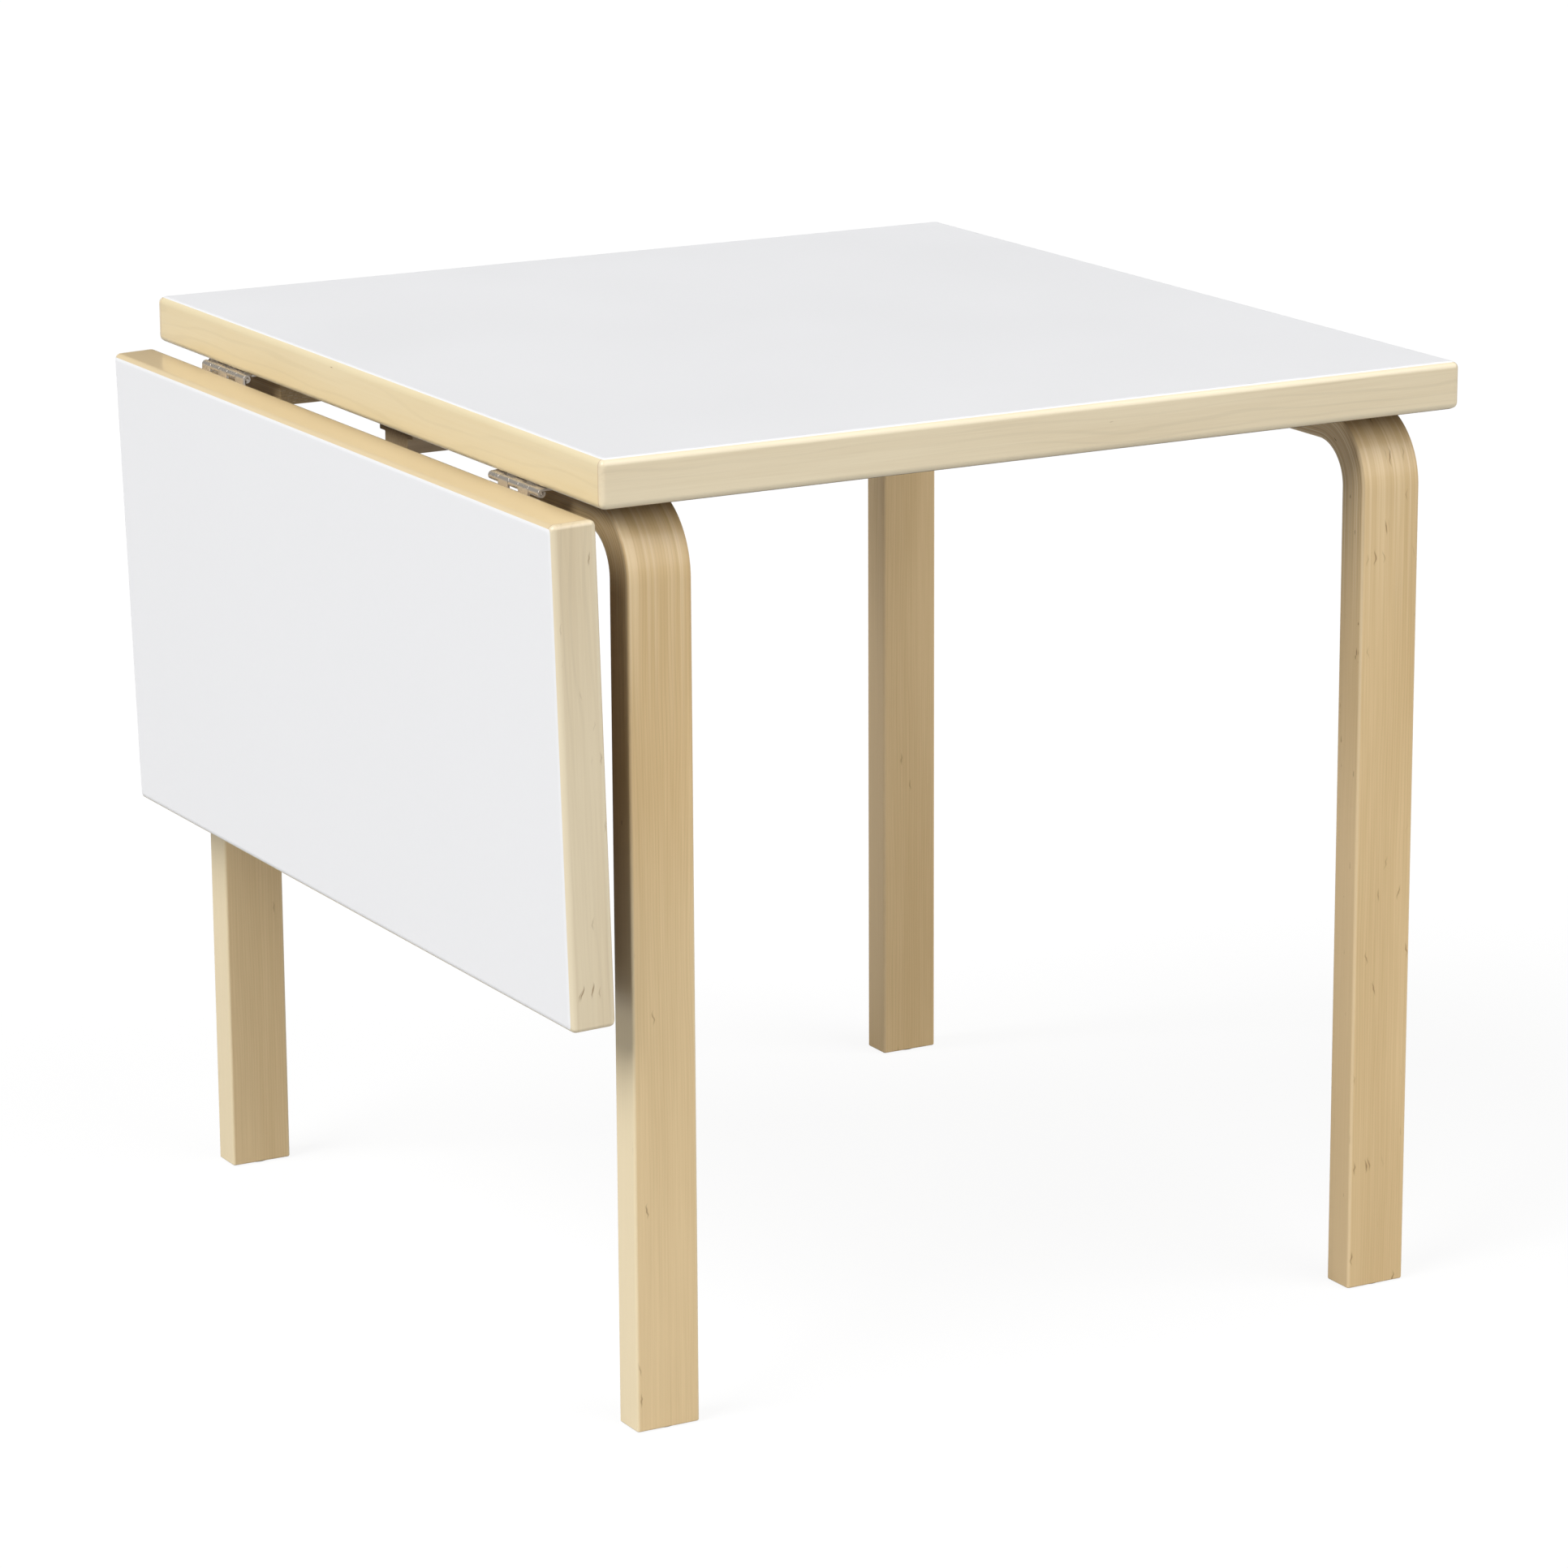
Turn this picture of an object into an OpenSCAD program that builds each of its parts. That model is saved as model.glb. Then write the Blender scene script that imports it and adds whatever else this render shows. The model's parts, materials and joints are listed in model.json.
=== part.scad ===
// Drop-leaf table: a laminated square top on four bent L-legs, with one leaf that hangs
// from two butt hinges and is held level by a flat bar that slides out of a wooden runner.
// The table stands on the floor at z = 0. X runs from the leaf side to the right,
// Y from the front edge to the back edge.

/* [Top] */
// Width of the fixed top, from the hinged edge to the right edge
top_w = 720; // [600:1:800]
// Depth of the top, and length of the leaf, from front to back
top_d = 760; // [680:1:900]
// Height of the table above the floor
table_h = 720; // [680:1:760]
// Thickness of the top and of the leaf
board_t = 36.5; // [30:0.5:40]
// Thickness of the laminate on the top face and of the backing sheet below
sheet_t = 0.8; // [0.6:0.1:1.2]
// Thickness of the solid birch lipping round the core
lipping_t = 5; // [4.5:0.5:10]
// Radius of the long arrises of the top and the leaf
arris_r = 5.5; // [2:0.5:6]
// Radius of the upright corners of the top and the leaf
corner_r = 3.5; // [1:0.5:5]

/* [Leaf] */
// Width of the leaf, from its hinged edge to its free edge
leaf_w = 365.5; // [300:0.5:400]
// Gap between the top and the level leaf
leaf_gap = 1.4; // [1:0.1:2]
// How far the hanging leaf swings in past the upright, in degrees
leaf_lean = 1.65; // [0:0.05:3]

/* [Legs] */
// Width of a leg, across the table's width
leg_w = 51; // [45:1:60]
// Thickness of a leg where it stands upright
leg_t = 28.5; // [26:0.5:32]
// Thickness of the arm that lies under the top
arm_t = 26; // [24:0.5:28]
// Outer radius of the bend
bend_r = 58; // [52:1:64]
// Inner radius of the bend
bend_inner_r = 32; // [28:1:36]
// Length of the front legs' arms, from the leg's outer face
front_arm = 150; // [140:1:180]
// Length of the back legs' arms, from the leg's outer face
back_arm = 162; // [140:1:180]
// Distance from the side edge of the top to a leg
leg_side_inset = 25.5; // [20:0.5:40]
// Distance from the front or back edge of the top to a leg
leg_end_inset = 12; // [8:0.5:30]
// Diameter of the round glide let into each foot
glide_d = 24; // [18:1:26]

/* [Hinges] */
// Length of each hinge
hinge_l = 78; // [70:1:90]
// Distance from the front or back edge to the middle of a hinge
hinge_inset = 130; // [110:1:180]
// Outer diameter of the knuckles
knuckle_d = 6.4; // [6:0.1:6.4]
// Diameter of the hinge pin
pin_d = 3; // [2.5:0.1:3.5]
// Depth of the pin's axis below the underside of the top
pin_drop = 3.5; // [3.5:0.1:4]
// Width of a hinge plate, from the pin's axis to its far edge
plate_w = 24; // [22:1:25]
// Thickness of a hinge plate
plate_t = 2; // [1.5:0.1:2]

/* [Leaf support] */
// Width of the runner's upper part, against the top
runner_w = 56; // [50:1:70]
// Width of the runner's lower part
runner_web_w = 38; // [34:1:44]
// Full depth of the runner
runner_h = 25.5; // [24:0.5:28]
// Depth of the runner's wider upper part
runner_flange_h = 13.5; // [12:0.5:15]
// Length of the runner
runner_l = 360; // [340:5:420]
// Width of the sliding bar
bar_w = 30; // [26:1:32]
// Thickness of the sliding bar
bar_t = 3; // [2.5:0.1:3]
// Length of the sliding bar
bar_l = 330; // [300:5:340]
// How far the bar slides out
bar_travel = 190; // [150:5:190]

/* [Hidden] */
$fn = 64;

underside = table_h - board_t;
// the hinge pins' shared axis runs along Y through the plane of the top's hinged edge
pin_z = underside - pin_drop;
// the leaf turns from hanging to level through this angle
leaf_swing = 90 + leaf_lean;
// the hanging leaf's outer face is the object's furthest reach on the leaf side
leaf_reach = (pin_drop + board_t) * cos(leaf_lean) - (leaf_gap + arris_r) * sin(leaf_lean);
// the origin is on the floor below the middle of the object's box
origin_x = (top_w - leaf_reach) / 2;
origin_y = top_d / 2;

// a cut runs this far past the face it opens
past = 1;

// glides: thickness, how far they stand below the foot, and their room in the foot
glide_h = 4;
glide_proud = 1;
glide_fit = 0.1;

// hinge: knuckles per hinge, gap between them, gap from plate to knuckle, room round the pin
knuckle_count = 5;
knuckle_gap = 0.5;
knuckle_l = (hinge_l - (knuckle_count - 1) * knuckle_gap) / knuckle_count;
plate_start = knuckle_d / 2 + 1;
pin_press = 0.02;
pin_running = 0.05;
hinge_screw_x = [18, 10.5, 18];
hinge_screw_y = [-27, 0, 27];

// screws: [shank diameter, head diameter, length]
leg_screw = [4, 8, 40];
hinge_screw = [3.2, 6.2, 16];
runner_screw = [3.2, 6.4, 26];
knob_screw = [4, 7.4, 26];
screw_fit = 0.05;
head_room = 0.4;
leg_screw_sink = 3;
leg_screw_rows = [78, 134];
leg_screw_side = 13;
runner_screw_x = [35, 180, 325];

// leaf support: the bar lies this far below the top, with this room at its sides
bar_drop = 0.4;
bar_side_room = 0.4;
bar_floor_room = 0.3;
bar_setback = 1;
knob_shank_d = 8;
knob_d = 20;
knob_head_h = 13;
knob_back = 30;
slot_room = 0.5;
bar_x = leg_side_inset + bar_setback;
bar_top = underside - bar_drop;
knob_x = bar_x + bar_l - knob_back;
groove_w = bar_w + 2 * bar_side_room;
groove_h = bar_drop + bar_t + bar_floor_room;
slot_w = knob_shank_d + 2 * slot_room;

module to_origin() { translate([-origin_x, -origin_y, 0]) children(); }

// turns what is drawn level about the pins' axis, down to where the leaf hangs
module hanging() {
    translate([0, 0, pin_z]) rotate([0, -leaf_swing, 0]) translate([0, 0, -pin_z]) children();
}

// ---------------------------------------------------------------- boards

// a flat rectangle w by h with its lower left corner at the origin and round corners
module round_rect(w, h, r) {
    translate([r, 0]) square([w - 2 * r, h]);
    translate([0, r]) square([w, h - 2 * r]);
    for (x = [r, w - r], y = [r, h - r]) translate([x, y]) circle(r);
}

// the outer form of a board w wide: every arris is round
module board_form(w) {
    intersection() {
        linear_extrude(board_t) round_rect(w, top_d, corner_r);
        rotate([90, 0, 90]) linear_extrude(w) round_rect(top_d, board_t, arris_r);
        translate([0, top_d, 0]) rotate([90, 0, 0]) linear_extrude(top_d)
            round_rect(w, board_t, arris_r);
    }
}

// the solid between the sheets, cut to the box that one piece of it fills
module board_middle(w, corner, size) {
    intersection() {
        board_form(w);
        translate([corner[0], corner[1], sheet_t]) cube([size[0], size[1], board_t - 2 * sheet_t]);
    }
}

module core(w) {
    board_middle(w, [lipping_t, lipping_t], [w - 2 * lipping_t, top_d - 2 * lipping_t]);
}

// front and back lippings run the full width and cover the ends of the other two
module end_lipping(w, back) {
    board_middle(w, [0, back ? top_d - lipping_t : 0], [w, lipping_t]);
}

module side_lipping(w, far) {
    board_middle(w, [far ? w - lipping_t : 0, lipping_t], [lipping_t, top_d - 2 * lipping_t]);
}

module face_sheet(w, upper) {
    intersection() {
        board_form(w);
        translate([0, 0, upper ? board_t - sheet_t : 0]) cube([w, top_d, sheet_t]);
    }
}

module at_top() { translate([0, 0, underside]) children(); }
module at_leaf() { hanging() translate([-leaf_gap - leaf_w, 0, underside]) children(); }

module top_holes() {
    for (back = [false, true], right = [false, true]) leg_screw_places(back, right)
        screw_hole(leg_screw);
    for (back = [false, true]) hinge_screw_places(back, 1) screw_hole(hinge_screw);
    runner_screw_places() screw_hole(runner_screw);
}

module leaf_holes() {
    for (back = [false, true]) hinge_screw_places(back, -1) screw_hole(hinge_screw);
}

module top_core() { color("tan") difference() { at_top() core(top_w); top_holes(); } }
module top_laminate() { color("whitesmoke") at_top() face_sheet(top_w, true); }
module top_backing() {
    color("whitesmoke") difference() { at_top() face_sheet(top_w, false); top_holes(); }
}
module top_end_lipping(back) { color("wheat") at_top() end_lipping(top_w, back); }
module top_side_lipping(far) { color("wheat") at_top() side_lipping(top_w, far); }

module leaf_core() {
    color("tan") difference() { at_leaf() core(leaf_w); hanging() leaf_holes(); }
}
module leaf_laminate() { color("whitesmoke") at_leaf() face_sheet(leaf_w, true); }
module leaf_backing() {
    color("whitesmoke") difference() { at_leaf() face_sheet(leaf_w, false); hanging() leaf_holes(); }
}
module leaf_end_lipping(back) { color("wheat") at_leaf() end_lipping(leaf_w, back); }
module leaf_side_lipping(hinged) { color("wheat") at_leaf() side_lipping(leaf_w, hinged); }

// ---------------------------------------------------------------- screws

// a countersunk screw: its head's face is at z = 0 and its shank points up
module screw(s) {
    head_h = (s[1] - s[0]) / 2;
    recess_l = s[1] * 0.55;
    recess_w = s[0] * 0.28;
    difference() {
        union() {
            cylinder(h = head_h, d1 = s[1], d2 = s[0]);
            cylinder(h = s[2], d = s[0]);
        }
        for (turn = [0, 90]) rotate(turn)
            translate([-recess_l / 2, -recess_w / 2, -past])
                cube([recess_l, recess_w, past + head_h * 0.8]);
    }
}

// the hole that a screw's shank fills
module screw_hole(s) { cylinder(h = s[2] + screw_fit, d = s[0] + 2 * screw_fit); }

// the shank's hole with a countersink for the head
module countersunk_hole(s) {
    head_h = (s[1] - s[0]) / 2;
    screw_hole(s);
    cylinder(h = head_h + screw_fit, d1 = s[1] + 2 * screw_fit, d2 = s[0] + 2 * screw_fit);
    translate([0, 0, -past]) cylinder(h = past, d = s[1] + 2 * head_room);
}

// ---------------------------------------------------------------- legs

// side view of a leg: the outer face is at x = 0 and the arm runs along +x
module leg_outline(arm) {
    inner_x = leg_t + bend_inner_r;
    inner_z = underside - arm_t - bend_inner_r;
    difference() {
        union() {
            translate([0, glide_proud]) square([leg_t, underside - glide_proud]);
            translate([0, underside - arm_t]) square([arm, arm_t]);
            translate([0, inner_z]) square([inner_x, underside - inner_z]);
        }
        translate([inner_x, inner_z]) circle(bend_inner_r);
        difference() {
            translate([-past, underside - bend_r]) square([bend_r + past, bend_r + past]);
            translate([bend_r, underside - bend_r]) circle(bend_r);
        }
    }
}

function arm_length(back) = back ? back_arm : front_arm;

// places what is drawn with the outer face at y = 0, the arm along +y and x = 0 at mid-width
module at_leg(back, right) {
    x = right ? top_w - leg_side_inset - leg_w / 2 : leg_side_inset + leg_w / 2;
    y = back ? top_d - leg_end_inset : leg_end_inset;
    translate([x, y, 0]) mirror([0, back ? 1 : 0, 0]) children();
}

module leg_screw_places(back, right) {
    at_leg(back, right) for (x = [-leg_screw_side, leg_screw_side], y = leg_screw_rows)
        translate([x, y, underside - arm_t + leg_screw_sink]) children();
}

module leg(back, right) {
    color("burlywood") difference() {
        at_leg(back, right) translate([-leg_w / 2, 0, 0]) rotate([90, 0, 90])
            linear_extrude(leg_w) leg_outline(arm_length(back));
        leg_screw_places(back, right) {
            countersunk_hole(leg_screw);
            translate([0, 0, -leg_screw_sink - past])
                cylinder(h = leg_screw_sink + past, d = leg_screw[1] + 2 * head_room);
        }
        at_leg(back, right) translate([0, leg_t / 2, 0])
            cylinder(h = glide_h + glide_fit, d = glide_d + 2 * glide_fit);
    }
}

module leg_screws(back, right) {
    color("silver") leg_screw_places(back, right) screw(leg_screw);
}

module glide(back, right) {
    color("dimgray") at_leg(back, right) translate([0, leg_t / 2, 0])
        cylinder(h = glide_h, d = glide_d);
}

// ---------------------------------------------------------------- hinges

module at_hinge(back) {
    translate([0, back ? top_d - hinge_inset : hinge_inset, 0]) children();
}

// side is 1 for the plate under the top and -1 for the plate under the level leaf
module hinge_screw_places(back, side) {
    at_hinge(back) for (i = [0:2])
        translate([side * hinge_screw_x[i], hinge_screw_y[i], underside - plate_t]) children();
}

// a plate drawn with the leaf level; odd is true where it has the first and last knuckles
module hinge_plate(back, side, odd) {
    bore = pin_d / 2 + (side > 0 ? pin_press : pin_running);
    difference() {
        at_hinge(back) {
            translate([side > 0 ? plate_start : -plate_w, -hinge_l / 2, underside - plate_t])
                cube([plate_w - plate_start, hinge_l, plate_t]);
            for (i = [odd ? 0 : 1 : 2 : knuckle_count - 1])
                translate([0, -hinge_l / 2 + i * (knuckle_l + knuckle_gap), 0]) {
                    translate([0, knuckle_l, pin_z]) rotate([90, 0, 0])
                        cylinder(h = knuckle_l, d = knuckle_d);
                    translate([side > 0 ? 0 : -plate_start - past, 0, underside - plate_t])
                        cube([plate_start + past, knuckle_l, plate_t - pin_drop + knuckle_d / 2]);
                }
        }
        at_hinge(back) translate([0, hinge_l / 2 + past, pin_z]) rotate([90, 0, 0])
            cylinder(h = hinge_l + 2 * past, r = bore);
        hinge_screw_places(back, side) countersunk_hole(hinge_screw);
    }
}

module hinge_top_plate(back) { color("silver") hinge_plate(back, 1, !back); }
module hinge_leaf_plate(back) { color("silver") hanging() hinge_plate(back, -1, back); }
module hinge_pin(back) {
    color("gray") at_hinge(back) translate([0, hinge_l / 2, pin_z]) rotate([90, 0, 0])
        cylinder(h = hinge_l, d = pin_d);
}
module hinge_top_screws(back) { color("silver") hinge_screw_places(back, 1) screw(hinge_screw); }
module hinge_leaf_screws(back) {
    color("silver") hanging() hinge_screw_places(back, -1) screw(hinge_screw);
}

// ---------------------------------------------------------------- leaf support

module runner_screw_places() {
    wing = (runner_w + runner_web_w) / 4;
    for (x = runner_screw_x, side = [-1, 1])
        translate([leg_side_inset + x, top_d / 2 + side * wing, underside - runner_flange_h])
            children();
}

// a T-shaped rail under the top: the bar slides in a groove in its upper face and
// the knob's shank runs in a slot through its lower part
module support_runner() {
    color("burlywood") difference() {
        translate([leg_side_inset, top_d / 2, underside]) {
            translate([0, -runner_w / 2, -runner_flange_h])
                cube([runner_l, runner_w, runner_flange_h]);
            translate([0, -runner_web_w / 2, -runner_h]) cube([runner_l, runner_web_w, runner_h]);
        }
        translate([leg_side_inset - past, top_d / 2 - groove_w / 2, underside - groove_h])
            cube([runner_l + 2 * past, groove_w, groove_h + past]);
        translate([knob_x - bar_travel, top_d / 2, underside - runner_h - past]) {
            translate([0, -slot_w / 2, 0]) cube([bar_travel, slot_w, runner_h]);
            for (x = [0, bar_travel]) translate([x, 0, 0]) cylinder(h = runner_h, d = slot_w);
        }
        runner_screw_places() countersunk_hole(runner_screw);
    }
}

module support_runner_screws() { color("silver") runner_screw_places() screw(runner_screw); }

module at_knob() { translate([knob_x, top_d / 2, 0]) children(); }

module support_bar() {
    color("darkslategray") difference() {
        translate([bar_x, top_d / 2 - bar_w / 2, bar_top - bar_t]) cube([bar_l, bar_w, bar_t]);
        at_knob() translate([0, 0, bar_top]) mirror([0, 0, 1]) countersunk_hole(knob_screw);
    }
}

// a turned pull under the runner, on a shank that passes up through the slot to the bar
module support_knob() {
    head_top = underside - runner_h - slot_room;
    color("wheat") at_knob() difference() {
        union() {
            translate([0, 0, head_top]) cylinder(h = bar_top - bar_t - head_top, d = knob_shank_d);
            translate([0, 0, head_top - knob_head_h]) cylinder(h = knob_head_h, d = knob_d);
        }
        translate([0, 0, bar_top]) mirror([0, 0, 1]) screw_hole(knob_screw);
    }
}

module support_knob_screw() {
    color("silver") at_knob() translate([0, 0, bar_top]) mirror([0, 0, 1]) screw(knob_screw);
}

// ---------------------------------------------------------------- nodes

to_origin() top_core();
to_origin() top_laminate();
to_origin() top_backing();
to_origin() top_end_lipping(false);  // top_lipping_front
to_origin() top_end_lipping(true);  // top_lipping_back
to_origin() top_side_lipping(true);  // top_lipping_right
to_origin() top_side_lipping(false);  // top_lipping_hinge_side
to_origin() leaf_core();
to_origin() leaf_laminate();
to_origin() leaf_backing();
to_origin() leaf_end_lipping(false);  // leaf_lipping_front
to_origin() leaf_end_lipping(true);  // leaf_lipping_back
to_origin() leaf_side_lipping(false);  // leaf_lipping_free_edge
to_origin() leaf_side_lipping(true);  // leaf_lipping_hinge_side
to_origin() leg(false, false);  // leg_front_left
to_origin() leg(false, true);  // leg_front_right
to_origin() leg(true, false);  // leg_back_left
to_origin() leg(true, true);  // leg_back_right
to_origin() leg_screws(false, false);  // leg_screws_front_left
to_origin() leg_screws(false, true);  // leg_screws_front_right
to_origin() leg_screws(true, false);  // leg_screws_back_left
to_origin() leg_screws(true, true);  // leg_screws_back_right
to_origin() glide(false, false);  // glide_front_left
to_origin() glide(false, true);  // glide_front_right
to_origin() glide(true, false);  // glide_back_left
to_origin() glide(true, true);  // glide_back_right
to_origin() hinge_top_plate(false);  // hinge_front_top_plate
to_origin() hinge_leaf_plate(false);  // hinge_front_leaf_plate
to_origin() hinge_pin(false);  // hinge_front_pin
to_origin() hinge_top_screws(false);  // hinge_front_top_screws
to_origin() hinge_leaf_screws(false);  // hinge_front_leaf_screws
to_origin() hinge_top_plate(true);  // hinge_back_top_plate
to_origin() hinge_leaf_plate(true);  // hinge_back_leaf_plate
to_origin() hinge_pin(true);  // hinge_back_pin
to_origin() hinge_top_screws(true);  // hinge_back_top_screws
to_origin() hinge_leaf_screws(true);  // hinge_back_leaf_screws
to_origin() support_runner();
to_origin() support_runner_screws();
to_origin() support_bar();
to_origin() support_knob();
to_origin() support_knob_screw();
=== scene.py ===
# %% [markdown]
# # A drop-leaf table of birch and white laminate
# The table is a square top on four bent legs, with one leaf that hangs from two butt hinges.
# The packed CAD model says where every part is and how it moves. This lesson gives the parts
# their finished shapes: rounded arrises, seams, rolled hinge knuckles, a turned knob, and the
# grain of the wood. The model is loaded first, because everything is placed from it.

# %% Load the packed model
import json
from math import cos, pi, radians, sin, tau

import bmesh
import bpy
import numpy as np
from mathutils import Matrix, Vector

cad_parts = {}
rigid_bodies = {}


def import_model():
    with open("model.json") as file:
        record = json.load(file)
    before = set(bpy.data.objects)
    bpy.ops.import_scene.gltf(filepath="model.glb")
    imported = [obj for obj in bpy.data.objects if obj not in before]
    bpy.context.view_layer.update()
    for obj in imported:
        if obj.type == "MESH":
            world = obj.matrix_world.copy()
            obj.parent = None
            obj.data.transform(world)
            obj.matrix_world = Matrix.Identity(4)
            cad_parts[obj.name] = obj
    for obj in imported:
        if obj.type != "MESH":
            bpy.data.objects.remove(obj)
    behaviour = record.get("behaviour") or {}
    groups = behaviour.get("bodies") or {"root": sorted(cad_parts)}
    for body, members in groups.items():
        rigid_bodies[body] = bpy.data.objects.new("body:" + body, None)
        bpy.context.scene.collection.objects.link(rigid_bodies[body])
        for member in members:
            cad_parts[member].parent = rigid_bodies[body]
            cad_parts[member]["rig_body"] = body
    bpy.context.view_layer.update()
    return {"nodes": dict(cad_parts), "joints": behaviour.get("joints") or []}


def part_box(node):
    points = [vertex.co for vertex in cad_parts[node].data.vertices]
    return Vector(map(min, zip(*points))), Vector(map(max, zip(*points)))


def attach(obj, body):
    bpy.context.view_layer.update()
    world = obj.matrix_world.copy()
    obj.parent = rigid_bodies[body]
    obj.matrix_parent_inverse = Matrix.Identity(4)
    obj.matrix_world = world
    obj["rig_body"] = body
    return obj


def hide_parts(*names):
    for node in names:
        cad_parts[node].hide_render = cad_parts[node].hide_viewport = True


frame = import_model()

mm = 0.001

# %% [markdown]
# ## The camera
# The view is from the front left and looks down a little, through a long lens. A long lens
# keeps the legs nearly parallel. The camera's place is given in metres on the table's own
# axes, and three small turns aim it: its heading, how far it looks down, and its roll.

# %% Camera
camera_place = Vector((-2.1850, -3.9313, 1.5330))
camera_heading = radians(29.23)
camera_pitch = radians(14.62)
camera_roll = radians(0.31)
camera_lens = 136.4

camera_data = bpy.data.cameras.new("camera")
camera_data.lens = camera_lens
camera_data.sensor_width = 36.0
camera_data.clip_end = 200.0
camera = bpy.data.objects.new("camera", camera_data)
aim = (
    Matrix.Rotation(-camera_heading, 4, "Z")
    @ Matrix.Rotation(pi / 2 - camera_pitch, 4, "X")
    @ Matrix.Rotation(-camera_roll, 4, "Z")
)
camera.matrix_world = Matrix.Translation(camera_place) @ aim
bpy.context.scene.collection.objects.link(camera)
bpy.context.scene.camera = camera
print("camera at", tuple(round(v, 3) for v in camera_place), "lens", camera_lens, "mm")

# %% [markdown]
# ## Light and floor
# A product like this is lit by two large soft lights: a strong one from the left and a weaker
# one from the front, a little to the right. A sun lamp with a wide disc is such a soft light,
# and it is even over the whole floor. A light's heading is measured from the front towards the
# left. No light comes from the front left, so the space behind the hanging leaf stays dark.

# %% Floor, surroundings and light
floor_half = 60.0
surround_strength = 0.14
# name, heading, elevation, strength, width of the disc; angles in degrees
softboxes = (
    ("left softbox", 84, 44, 3.15, 40),
    ("front softbox", -28, 37, 2.14, 60),
)
# how pale the floor is for the table, how pale where it is seen directly, and its glow there
floor_paper = 0.47
floor_paper_seen = 0.10
floor_glow = 0.90

floor_mesh = bpy.data.meshes.new("floor")
floor_corners = [
    (-floor_half, -floor_half, 0.0),
    (floor_half, -floor_half, 0.0),
    (floor_half, floor_half, 0.0),
    (-floor_half, floor_half, 0.0),
]
floor_mesh.from_pydata(floor_corners, [], [(0, 1, 2, 3)])
floor = bpy.data.objects.new("floor", floor_mesh)
bpy.context.scene.collection.objects.link(floor)

world = bpy.data.worlds.new("pale surroundings")
world.use_nodes = True
world.node_tree.nodes["Background"].inputs["Color"].default_value = (1.0, 1.0, 1.0, 1.0)
world.node_tree.nodes["Background"].inputs["Strength"].default_value = surround_strength
bpy.context.scene.world = world
bpy.context.scene.view_settings.view_transform = "Standard"

for name, heading, elevation, strength, disc in softboxes:
    lamp = bpy.data.lights.new(name, "SUN")
    lamp.energy = strength
    lamp.angle = radians(disc)
    softbox = bpy.data.objects.new(name, lamp)
    level = cos(radians(elevation))
    towards_light = Vector((
        -sin(radians(heading)) * level, -cos(radians(heading)) * level, sin(radians(elevation))
    ))
    softbox.matrix_world = towards_light.to_track_quat("Z", "Y").to_matrix().to_4x4()
    bpy.context.scene.collection.objects.link(softbox)
    print(name, "comes from", tuple(round(v, 2) for v in towards_light))

# %% [markdown]
# ## Writing materials as sums
# A material is a graph of nodes, and sums of many nodes are hard to read. One small class
# wraps a socket, so that `1 - mask * 0.3` adds the two Math nodes by itself. A second class
# holds one material, and its `node` method adds any other node.

# %% A socket that takes part in sums
class Socket:
    """An output socket. +, -, * and / with it add a Math node and give its output."""

    def __init__(self, finish, output):
        self.finish = finish
        self.output = output

    def __add__(self, other):
        return self.finish.math("ADD", self, other)

    def __sub__(self, other):
        return self.finish.math("SUBTRACT", self, other)

    def __rsub__(self, other):
        return self.finish.math("SUBTRACT", other, self)

    def __mul__(self, other):
        return self.finish.math("MULTIPLY", self, other)

    def __truediv__(self, other):
        return self.finish.math("DIVIDE", self, other)

    __radd__ = __add__
    __rmul__ = __mul__


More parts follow.
